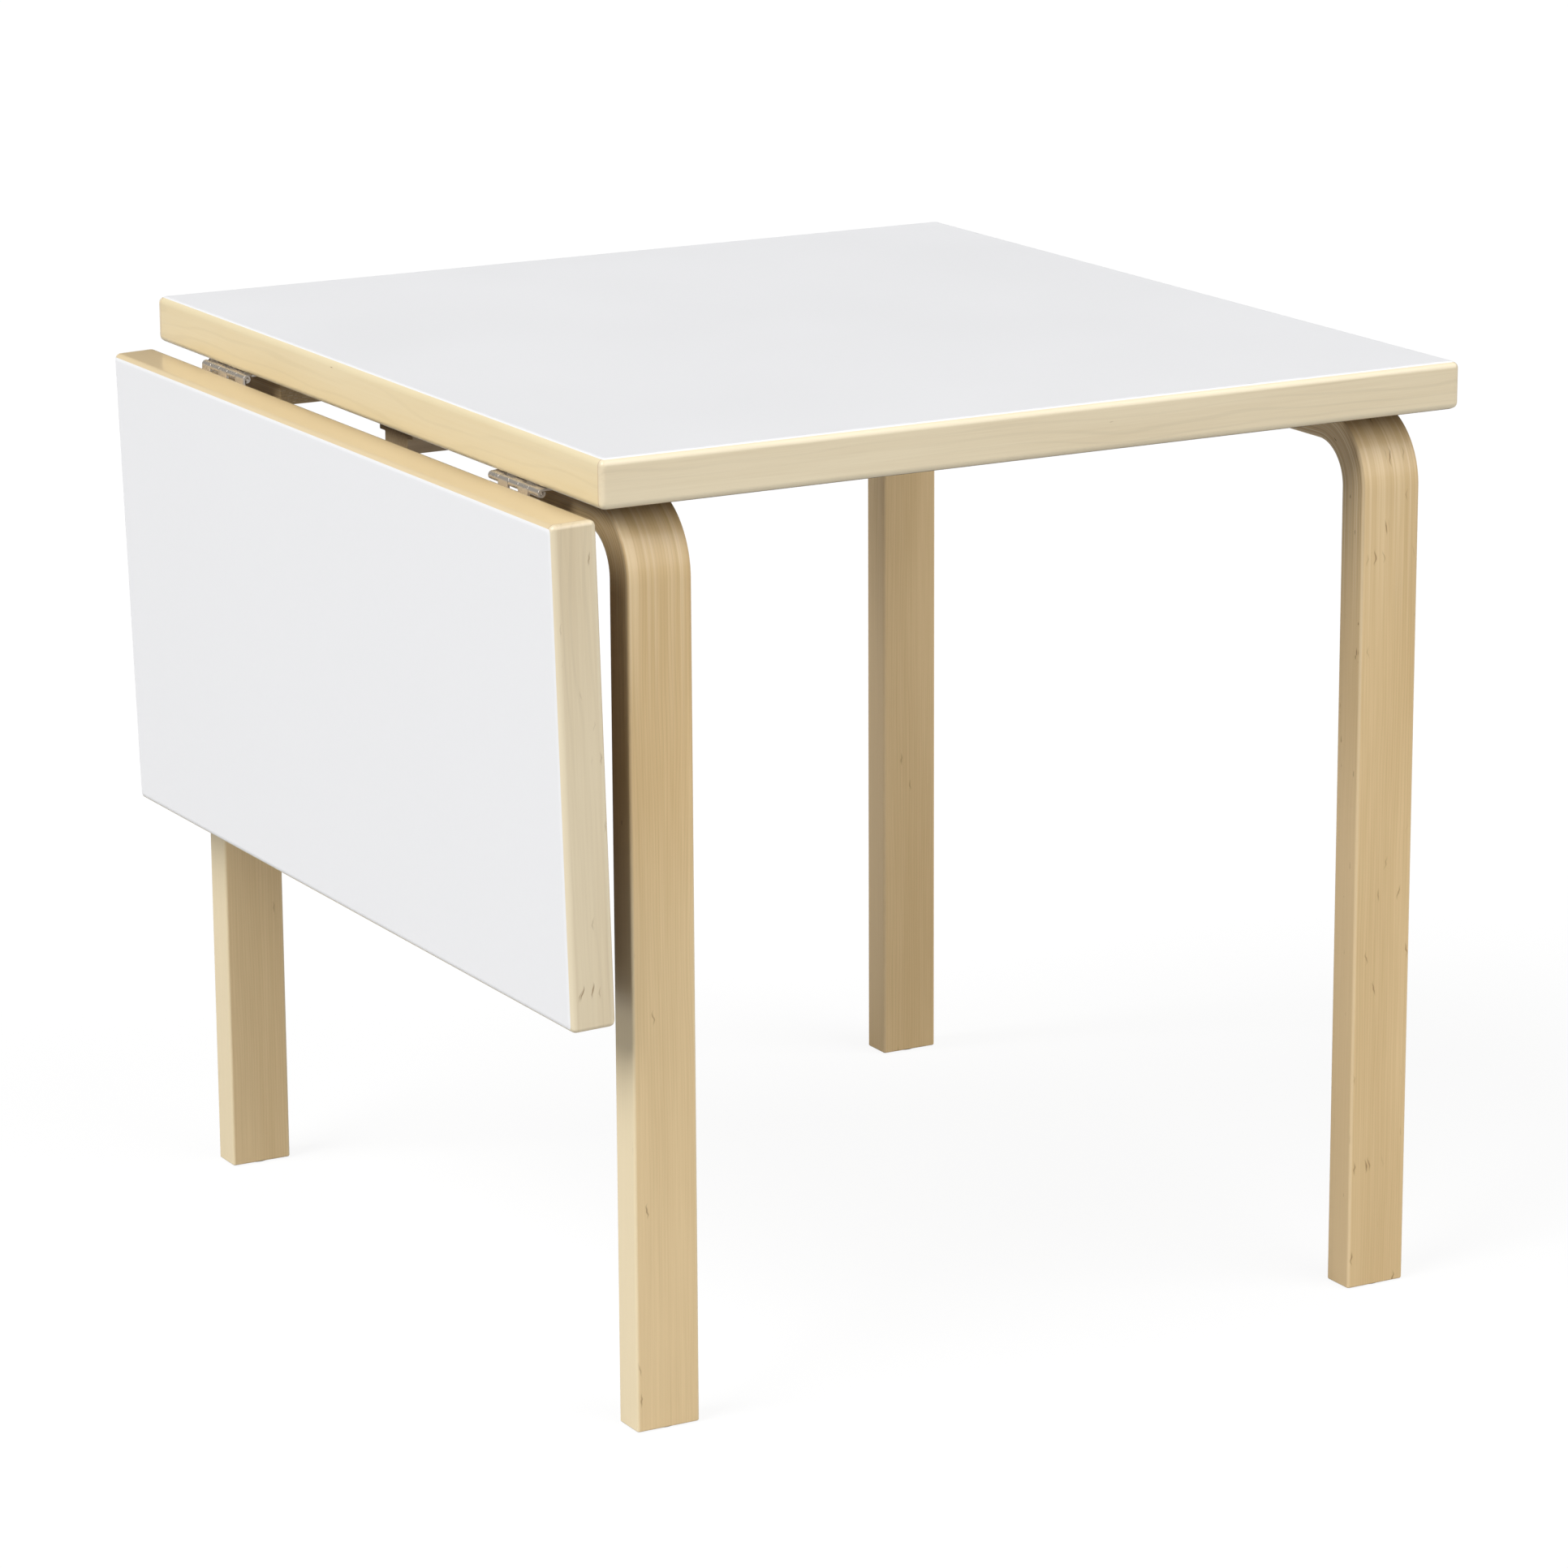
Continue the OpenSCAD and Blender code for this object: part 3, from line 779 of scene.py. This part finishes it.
def sheet(node, upper, lo, hi, place, finish, body, slot):
    """A face sheet. Its rows are close together at the front and back lines, where the
    corners are round, and q is the distance from the nearer of these two lines."""
    width, length = (hi - lo)[:2]
    low = board_t - sheet_t if upper else 0.0
    edge = soft_corner_r * (1 - np.cos(np.linspace(0, pi / 2, 7)))
    rows = np.concatenate([edge, np.linspace(0.02, 0.98, 9) * length])
    rows = np.unique(np.concatenate([rows, length - edge]))
    uvw, quads = lattice(np.linspace(0, 1, 9), rows / length, heights(low, low + sheet_t))
    u, v, height = uvw.T
    inset = arris_inset(height)
    y = inset + v * (length - 2 * inset)
    q = np.minimum(v, 1 - v) * length
    x_start = corner_inset(height, q)
    x = x_start + u * (width - 2 * x_start)
    points = np.stack([x, y, height], axis=1)
    return board_piece(node, lo, points, quads, points, place, finish, body, slot)


def end_lipping(node, back, lo, hi, place, finish, body):
    """A lipping over the whole width at the front or back, which covers the side lippings'
    ends. v runs from its outer face inwards, closer near the face, where the corner is round."""
    width, length = (hi - lo)[:2]
    uvw, quads = lattice(
        np.linspace(0, 1, 9), np.linspace(0, 1, 11) ** 2, heights(sheet_t, board_t - sheet_t)
    )
    u, v, height = uvw.T
    inset = arris_inset(height)
    y = inset + v * (lipping_t - inset)
    x_start = corner_inset(height, y - inset)
    x = x_start + u * (width - 2 * x_start)
    grain = np.stack([x, height, y], axis=1)
    y = length - y if back else y
    points = np.stack([x, y, height], axis=1)
    return board_piece(node, lo, points, quads, grain, place, finish, body, "birch_lipping")


def side_lipping(node, far, lo, hi, place, finish, body):
    """A lipping between the end lippings, on the side at x = lo, or x = hi if far. The
    attribute `seam` is 1 at its two ends and falls to 0 within a millimetre."""
    width, length = (hi - lo)[:2]
    run = length - 2 * lipping_t
    near_end = np.array([0, 0.4, 0.9, 1.4]) * mm / run
    vs = np.concatenate([near_end, np.linspace(0.1, 0.9, 9), 1 - near_end[::-1]])
    uvw, quads = lattice(np.linspace(0, 1, 5), vs, heights(sheet_t, board_t - sheet_t))
    u, v, height = uvw.T
    inset = arris_inset(height)
    x = inset + u * (lipping_t - inset)
    y = lipping_t + v * run
    from_end = np.minimum(v, 1 - v) * run
    seam = np.clip(1 - (from_end - 0.4 * mm) / (0.5 * mm), 0, 1)
    grain = np.stack([y, height, x], axis=1)
    x = width - x if far else x
    points = np.stack([x, y, height], axis=1)
    return board_piece(node, lo, points, quads, grain, place, finish, body, "birch_lipping", seam)


# %% The top
top = (top_lo, top_hi, stay)
sheet("top_laminate", True, *top, white_laminate, "table", "white_laminate")
sheet("top_backing", False, *top, backing_sheet, "table", "backing_sheet")
end_lipping("top_lipping_front", False, *top, lipping_cool, "table")
end_lipping("top_lipping_back", True, *top, lipping_cool, "table")
side_lipping("top_lipping_hinge_side", False, *top, lipping_warm, "table")
side_lipping("top_lipping_right", True, *top, lipping_warm, "table")
top_count = len(made_pieces)
print("top made of", [piece.name for piece in made_pieces])

# %% The leaf
leaf = (leaf_lo, leaf_hi, hang)
sheet("leaf_laminate", True, *leaf, white_laminate, "leaf", "white_laminate")
sheet("leaf_backing", False, *leaf, backing_sheet, "leaf", "backing_sheet")
end_lipping("leaf_lipping_front", False, *leaf, lipping_leaf_end, "leaf")
end_lipping("leaf_lipping_back", True, *leaf, lipping_leaf_end, "leaf")
side_lipping("leaf_lipping_free_edge", False, *leaf, lipping_warm, "leaf")
side_lipping("leaf_lipping_hinge_side", True, *leaf, lipping_gloss, "leaf")
print("leaf made of", [piece.name for piece in made_pieces[top_count:]])

# %% [markdown]
# ## The bent legs
# A leg is made straight: a rectangle with softened arrises, carried along its length. Its
# screw holes are drilled while it is straight. Then its coordinates are bent. The outer face
# follows an arc of radius 58 mm and the inner face one of 32 mm, with centres 2.5 mm apart,
# so that the leg thins from 28.5 mm at the foot to 26 mm at the arm. A point keeps its share
# of the way from the outer face to the inner one.

# %% A straight leg, and how it bends
leg_t = 28.5 * mm
arm_t = 26 * mm
bend_r = 58 * mm
bend_inner_r = 32 * mm
leg_arris = 2.4 * mm
foot_ease = 1.2 * mm
leg_screw_rows = (78 * mm, 134 * mm)
leg_screw_side = 13 * mm
leg_screw_sink = 3 * mm
leg_screw_head_r = 4.4 * mm
step_sideways = np.array([0.0, 0.31, 0.26])

sole_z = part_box("leg_front_left")[0].z
upright_l = underside - bend_r - sole_z
bend_l = (bend_r + bend_inner_r) / 2 * pi / 2
inner_start = leg_t + bend_inner_r
# Painted light on the legs. The left legs' arris tone is darker than their wood: painted shade where
# the arris borders the shaded side behind the leaf. The front right leg's arris tone is much paler:
# a painted highlight. The right legs' deeper orange side_tone is the warm hue of their shaded sides
# under the top: painted shade.
pale_sided_shaded_arris = leg_birch(
    "birch leg, pale sides", upright_l, pale_sides=0.75,
    side_tone=rgb(0.79, 0.69, 0.48), edge=rgb(0.64, 0.47, 0.26), flecks=0.015,
)
flecked = leg_birch(
    "birch leg, flecked", upright_l, pale_sides=0.6,
    side_tone=rgb(0.82, 0.62, 0.36), edge=rgb(0.82, 0.68, 0.47), flecks=0.13,
)
plain_sided = leg_birch(
    "birch leg, plain", upright_l, pale_sides=0.6,
    side_tone=rgb(0.82, 0.62, 0.36), edge=rgb(0.78, 0.62, 0.40), flecks=0.015,
)
leg_finishes = {
    ("front", "left"): pale_sided_shaded_arris,
    ("back", "left"): pale_sided_shaded_arris,
    ("front", "right"): flecked,
    ("back", "right"): plain_sided,
}
print("a leg is straight for", round(upright_l, 4), "m and bends over", round(bend_l, 4), "m")


def bent(points, arm):
    """(along, across, depth) of a straight leg to (out, across, up) of a bent one. Up to the
    bend, the outer face is at out = 0. In the bend both faces turn through the same angle,
    and in the arm both run level."""
    along, across, depth = np.asarray(points).T
    turn = np.clip((along - upright_l) / bend_l, 0, 1) * pi / 2
    reach = np.clip((along - upright_l - bend_l) / (arm - (bend_r + inner_start) / 2), 0, None)
    climb = np.minimum(along, upright_l) + sole_z
    outer_x = bend_r * (1 - np.cos(turn)) + reach * (arm - bend_r)
    outer_z = climb + bend_r * np.sin(turn)
    inner_x = inner_start - bend_inner_r * np.cos(turn) + reach * (arm - inner_start)
    inner_z = climb + bend_inner_r * np.sin(turn)
    share = depth / leg_t
    out = outer_x + (inner_x - outer_x) * share
    up = outer_z + (inner_z - outer_z) * share
    return np.stack([out, across, up], axis=1)


# %% The four legs and their glides
def leg_piece(end, side):
    """One leg, from foot to arm. Its grain is moved only sideways, because its finish reads
    the true distance from the foot."""
    node = f"leg_{end}_{side}"
    lo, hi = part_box(node)
    arm = hi.y - lo.y
    arm_l = arm - (bend_r + inner_start) / 2
    total = upright_l + bend_l + arm_l
    outline = rectangle(2 * leg_half_width, leg_t, leg_arris, 5) + [0, leg_t / 2]
    bend_stations = upright_l + np.linspace(0, bend_l, 25)
    stations = np.concatenate([[0.0], np.linspace(0.05, upright_l, 10), bend_stations, [total]])
    piece = stick(node + "_form", outline, stations, foot_ease)

    cutters = []
    for row in leg_screw_rows:
        along = upright_l + bend_l + (row - inner_start) / (arm - inner_start) * arm_l
        for across in (-leg_screw_side, leg_screw_side):
            floor_depth = leg_t * (1 - (leg_screw_sink + 0.3 * mm) / arm_t)
            bore = [(leg_screw_head_r, floor_depth), (leg_screw_head_r, leg_t + 5 * mm)]
            hole = turned("hole", bore)
            hole.data.transform(Matrix.Translation((along, across, 0)))
            cutters.append(hole)
    drill(piece, cutters)

    straight = points_of(piece.data)
    from_side = leg_half_width - np.abs(straight[:, 1])
    from_face = np.minimum(straight[:, 2], leg_t - straight[:, 2])
    mark(piece.data, "side", np.clip(1.2 - from_side / leg_arris, 0, 1))
    mark(piece.data, "arris", np.clip(1 - np.maximum(from_side, from_face) / leg_arris, 0, 1))
    mark(piece.data, "grain", straight + own_figure(step_sideways))
    middle_x = (lo.x + hi.x) / 2
    direction = 1 if end == "front" else -1
    outer_y = lo.y if end == "front" else hi.y

    def stand(points):
        out, across, up = bent(points, arm).T
        return np.stack([middle_x + across, outer_y + direction * out, up], axis=1)

    return finished(piece, stand, leg_finishes[end, side], "table", [node])


def glide_piece(end, side):
    """A disc under the foot, with its lower edge rounded."""
    node = f"glide_{end}_{side}"
    lo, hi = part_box(node)
    radius = (hi.x - lo.x) / 2
    ease = 0.6 * mm
    angle = np.linspace(0, pi / 2, 6)
    rim_r = radius - ease + ease * np.sin(angle)
    rim = np.stack([rim_r, lo.z + ease * (1 - np.cos(angle))], axis=1)
    profile = np.concatenate([[(radius * 0.5, lo.z)], rim, [(radius, hi.z)]])
    piece = turned(node + "_form", profile)
    middle = np.array([(lo.x + hi.x) / 2, (lo.y + hi.y) / 2, 0])
    return finished(piece, lambda p: p + middle, glide_grey, "table", [node])


for end in ("front", "back"):
    for side in ("left", "right"):
        made_leg = leg_piece(end, side)
        glide_piece(end, side)
        print(made_leg.name, len(made_leg.data.polygons), "faces")

# %% [markdown]
# ## The butt hinges
# Each hinge is two plates and a pin. A plate is flat steel whose edge is cut into tongues,
# and every tongue is rolled round the pin into a knuckle. The roll ends in a small open
# seam under the plate. The plates are drilled and countersunk for three screws each.

# %% Plates with rolled knuckles
knuckle_count = 5
knuckle_gap = 0.5 * mm
plate_t = 2 * mm
knuckle_r = 3.2 * mm
bore_r = 1.55 * mm
plate_corner = 3 * mm
hinge_screws = ((18 * mm, -27 * mm), (10.5 * mm, 0.0), (18 * mm, 27 * mm))
hinge_screw_r = 1.65 * mm
hinge_head_r = 3.15 * mm
hinge_sink = 1.5 * mm
plate_start = knuckle_r + 1 * mm
tongue_end = plate_start + 0.4 * mm
pin_drop = underside - pin_axis[2]
plate_base = pin_drop - plate_t


def knuckle_outline():
    """The rolled edge of a plate, seen along the pin, with the pin at the origin and the
    plate's upper face pin_drop above it: down to the roll's outside, round it by 285
    degrees, and back along the bore."""
    ease = np.linspace(0, 1, 6)
    ramp_x = tongue_end * (1 - ease)
    ramp_z = pin_drop + (knuckle_r - pin_drop) * (3 * ease**2 - 2 * ease**3)
    roll = np.radians(np.linspace(90, 375, 30))[1:]
    outer = np.stack([np.cos(roll), np.sin(roll)], axis=1) * knuckle_r
    inner = np.stack([np.cos(roll[::-1]), np.sin(roll[::-1])], axis=1) * bore_r
    under = [(0.0, plate_base), (tongue_end, plate_base)]
    return np.concatenate([np.stack([ramp_x, ramp_z], axis=1), outer, inner, under])


def plate_blank(name, length):
    """The flat part: its two far corners are round, and its edges are softened."""
    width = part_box("hinge_front_top_plate")[1].x - pin_axis[0]
    half = length / 2
    corners = [(plate_start, -half), (width, -half), (width, half), (plate_start, half)]
    outline = round_outline(corners, [0.3 * mm, plate_corner, plate_corner, 0.3 * mm], 8)
    piece = stick(name, outline, [0, plate_t], 0.25 * mm)
    along, x, y = points_of(piece.data).T
    level = np.stack([x, y, plate_base + along], axis=1)
    piece.data.vertices.foreach_set("co", level.ravel())
    outwards(piece.data)
    return piece


def hinge_plate(end, side, knuckles):
    """One plate of a hinge. side is 1 under the top and -1 under the level leaf."""
    pin_lo, pin_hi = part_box(f"hinge_{end}_pin")
    length = pin_hi.y - pin_lo.y
    middle = (pin_lo.y + pin_hi.y) / 2
    name = f"hinge_{end}_{'top' if side > 0 else 'leaf'}_plate"
    plate = plate_blank(name + "_form", length)
    drill(plate, [
        countersunk_hole(
            x, y, plate_base, plate_base + 3 * mm, hinge_head_r, hinge_screw_r, hinge_sink,
            start=plate_base - 1 * mm,
        )
        for x, y in hinge_screws
    ])

    knuckle_l = (length - (knuckle_count - 1) * knuckle_gap) / knuckle_count
    outline = knuckle_outline()
    for number in knuckles:
        start = -length / 2 + number * (knuckle_l + knuckle_gap)
        roll = stick("knuckle", outline, [start, start + knuckle_l], 0.2 * mm)
        along, x, z = points_of(roll.data).T
        roll.data.vertices.foreach_set("co", np.stack([x, along, z], axis=1).ravel())
        join = bmesh.new()
        join.from_mesh(plate.data)
        join.from_mesh(roll.data)
        join.to_mesh(plate.data)
        join.free()
        bpy.data.objects.remove(roll)

    def hinge_place(points):
        x, y, z = points.T
        level = np.stack([pin_axis[0] + side * x, middle + y, pin_axis[2] + z], axis=1)
        return level if side > 0 else hang(level)

    body = "table" if side > 0 else "leaf"
    return finished(plate, hinge_place, hinge_steel, body, [name])


def pin_piece(end):
    """The pin, with a low domed head at each end."""
    node = f"hinge_{end}_pin"
    lo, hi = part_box(node)
    radius = (hi.z - lo.z) / 2
    length = hi.y - lo.y
    dome = np.radians(np.linspace(15, 90, 6))
    tip = np.stack([radius * np.sin(dome), 0.5 * mm * np.cos(dome)], axis=1)
    start = tip * [1, -1] + [0, -length / 2 + 0.5 * mm]
    finish_end = tip[::-1] + [0, length / 2 - 0.5 * mm]
    piece = turned(node + "_form", np.concatenate([start, finish_end]), 32)
    middle = (lo.y + hi.y) / 2

    def lie(points):
        x, y, z = points.T
        return np.stack([pin_axis[0] + x, middle + z, pin_axis[2] + y], axis=1)

    return finished(piece, lie, hinge_steel, frame["nodes"][node]["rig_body"], [node])


for end in ("front", "back"):
    odd, even = range(0, knuckle_count, 2), range(1, knuckle_count, 2)
    hinge_plate(end, 1, odd if end == "front" else even)
    hinge_plate(end, -1, even if end == "front" else odd)
    print(pin_piece(end).name, "and its two plates")

# %% [markdown]
# ## The leaf support
# A T-shaped runner is screwed under the top. A flat steel bar slides in a groove in its
# upper face and comes out under the raised leaf. A turned knob below pulls the bar, through
# a slot in the runner.

# %% Runner, bar and knob
runner_lo, runner_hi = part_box("support_runner")
bar_lo, bar_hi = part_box("support_bar")
knob_lo, knob_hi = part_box("support_knob")
runner_web_half = 19 * mm
runner_flange = 13.5 * mm
groove_half = (bar_hi.y - bar_lo.y) / 2 + 0.4 * mm
groove_h = underside - bar_lo.z + 0.3 * mm
slot_half = 4.5 * mm
runner_screw_x = (35 * mm, 180 * mm, 325 * mm)
runner_screw_y = 23.5 * mm
runner_screw_r = 1.65 * mm
runner_head_r = 3.25 * mm
runner_sink = 1.6 * mm
pull = pull_joint["range_m"][1]
knob_x = (knob_lo.x + knob_hi.x) / 2


def runner_piece():
    """The T-shaped runner: a wide flange against the top and a narrower web below it, with
    the bar's groove in its upper face and the slot for the knob's shank through it."""
    half = (runner_hi.y - runner_lo.y) / 2
    full = underside - runner_lo.z
    right = [
        (groove_half, 0), (half, 0), (half, -runner_flange),
        (runner_web_half, -runner_flange), (runner_web_half, -full),
    ]
    left = [(-y, z) for y, z in reversed(right)]
    groove = [(-groove_half, -groove_h), (groove_half, -groove_h)]
    outline = round_outline(right + left + groove, 0.8 * mm, 4)
    length = runner_hi.x - runner_lo.x
    piece = stick("support_runner_form", outline, np.linspace(0, length, 7), 0.8 * mm)

    slot_middle = knob_x - pull / 2 - runner_lo.x
    slot_outline = rectangle(pull + 2 * slot_half, 2 * slot_half, slot_half - 1e-6, 12)
    slot_cut = stick("slot", slot_outline, [-full - 5 * mm, 5 * mm], 1e-5)
    along, x, y = points_of(slot_cut.data).T
    upright = np.stack([slot_middle + x, y, along], axis=1)
    slot_cut.data.vertices.foreach_set("co", upright.ravel())
    outwards(slot_cut.data)
    holes = [
        countersunk_hole(
            x, y, -runner_flange, 5 * mm, runner_head_r, runner_screw_r, runner_sink,
            start=-runner_flange - 2 * mm,
        )
        for x in runner_screw_x
        for y in (-runner_screw_y, runner_screw_y)
    ]
    drill(piece, [slot_cut] + holes)
    start = np.array([runner_lo.x, (runner_lo.y + runner_hi.y) / 2, underside])
    return finished(
        piece, lambda p: p + start, runner_wood, "table", ["support_runner"]
    )


def bar_piece():
    """The flat bar, carried along its length with softened edges."""
    width = bar_hi.y - bar_lo.y
    thickness = bar_hi.z - bar_lo.z
    outline = rectangle(width, thickness, 0.5 * mm, 4)
    length = bar_hi.x - bar_lo.x
    piece = stick("support_bar_form", outline, np.linspace(0, length, 5), 0.5 * mm)
    middle = np.array([bar_lo.x, (bar_lo.y + bar_hi.y) / 2, (bar_lo.z + bar_hi.z) / 2])
    return finished(
        piece, lambda p: p + middle, bar_steel, "support_slide", ["support_bar"]
    )


def knob_piece():
    """A turned pull: a round head whose lower rim is rounder than its upper one, and a shank
    that goes up through the slot to the bar. Both rims are quarter circles."""
    head_r = (knob_hi.x - knob_lo.x) / 2
    head_h = 13 * mm
    shank_r = 4 * mm
    lower_rim = 3.5 * mm
    upper_rim = 2 * mm
    bottom, shank_top = knob_lo.z, knob_hi.z
    shoulder = bottom + head_h
    turn = np.linspace(0, pi / 2, 8)
    lower_r = head_r - lower_rim + lower_rim * np.sin(turn)
    lower = np.stack([lower_r, bottom + lower_rim * (1 - np.cos(turn))], axis=1)
    upper_r = head_r - upper_rim * (1 - np.cos(turn))
    upper = np.stack([upper_r, shoulder - upper_rim + upper_rim * np.sin(turn)], axis=1)
    shank = [(shank_r, shoulder), (shank_r, shank_top)]
    profile = np.concatenate([[(head_r * 0.3, bottom)], lower, upper, shank])
    piece = turned("support_knob_form", profile)
    mark(piece.data, "grain", points_of(piece.data))
    middle = np.array([knob_x, (knob_lo.y + knob_hi.y) / 2, 0])
    return finished(
        piece, lambda p: p + middle, knob_wood, "support_slide", ["support_knob"]
    )


for made in (runner_piece(), bar_piece(), knob_piece()):
    print(made.name, len(made.data.polygons), "faces")

# %% [markdown]
# ## Parts that keep their CAD shape
# The cores, hidden in their boards, and the screws, whose cone heads and cross recesses are
# already right, are shown as they come. They only get their finishes.

# %% Finishes for the remaining nodes
for name, node in frame["nodes"].items():
    if node.hide_render:
        continue
    kept_finish = screw_zinc if "screw" in name else board_core
    node.data.materials.clear()
    node.data.materials.append(kept_finish.material)
    print(name, "is", kept_finish.material.name)
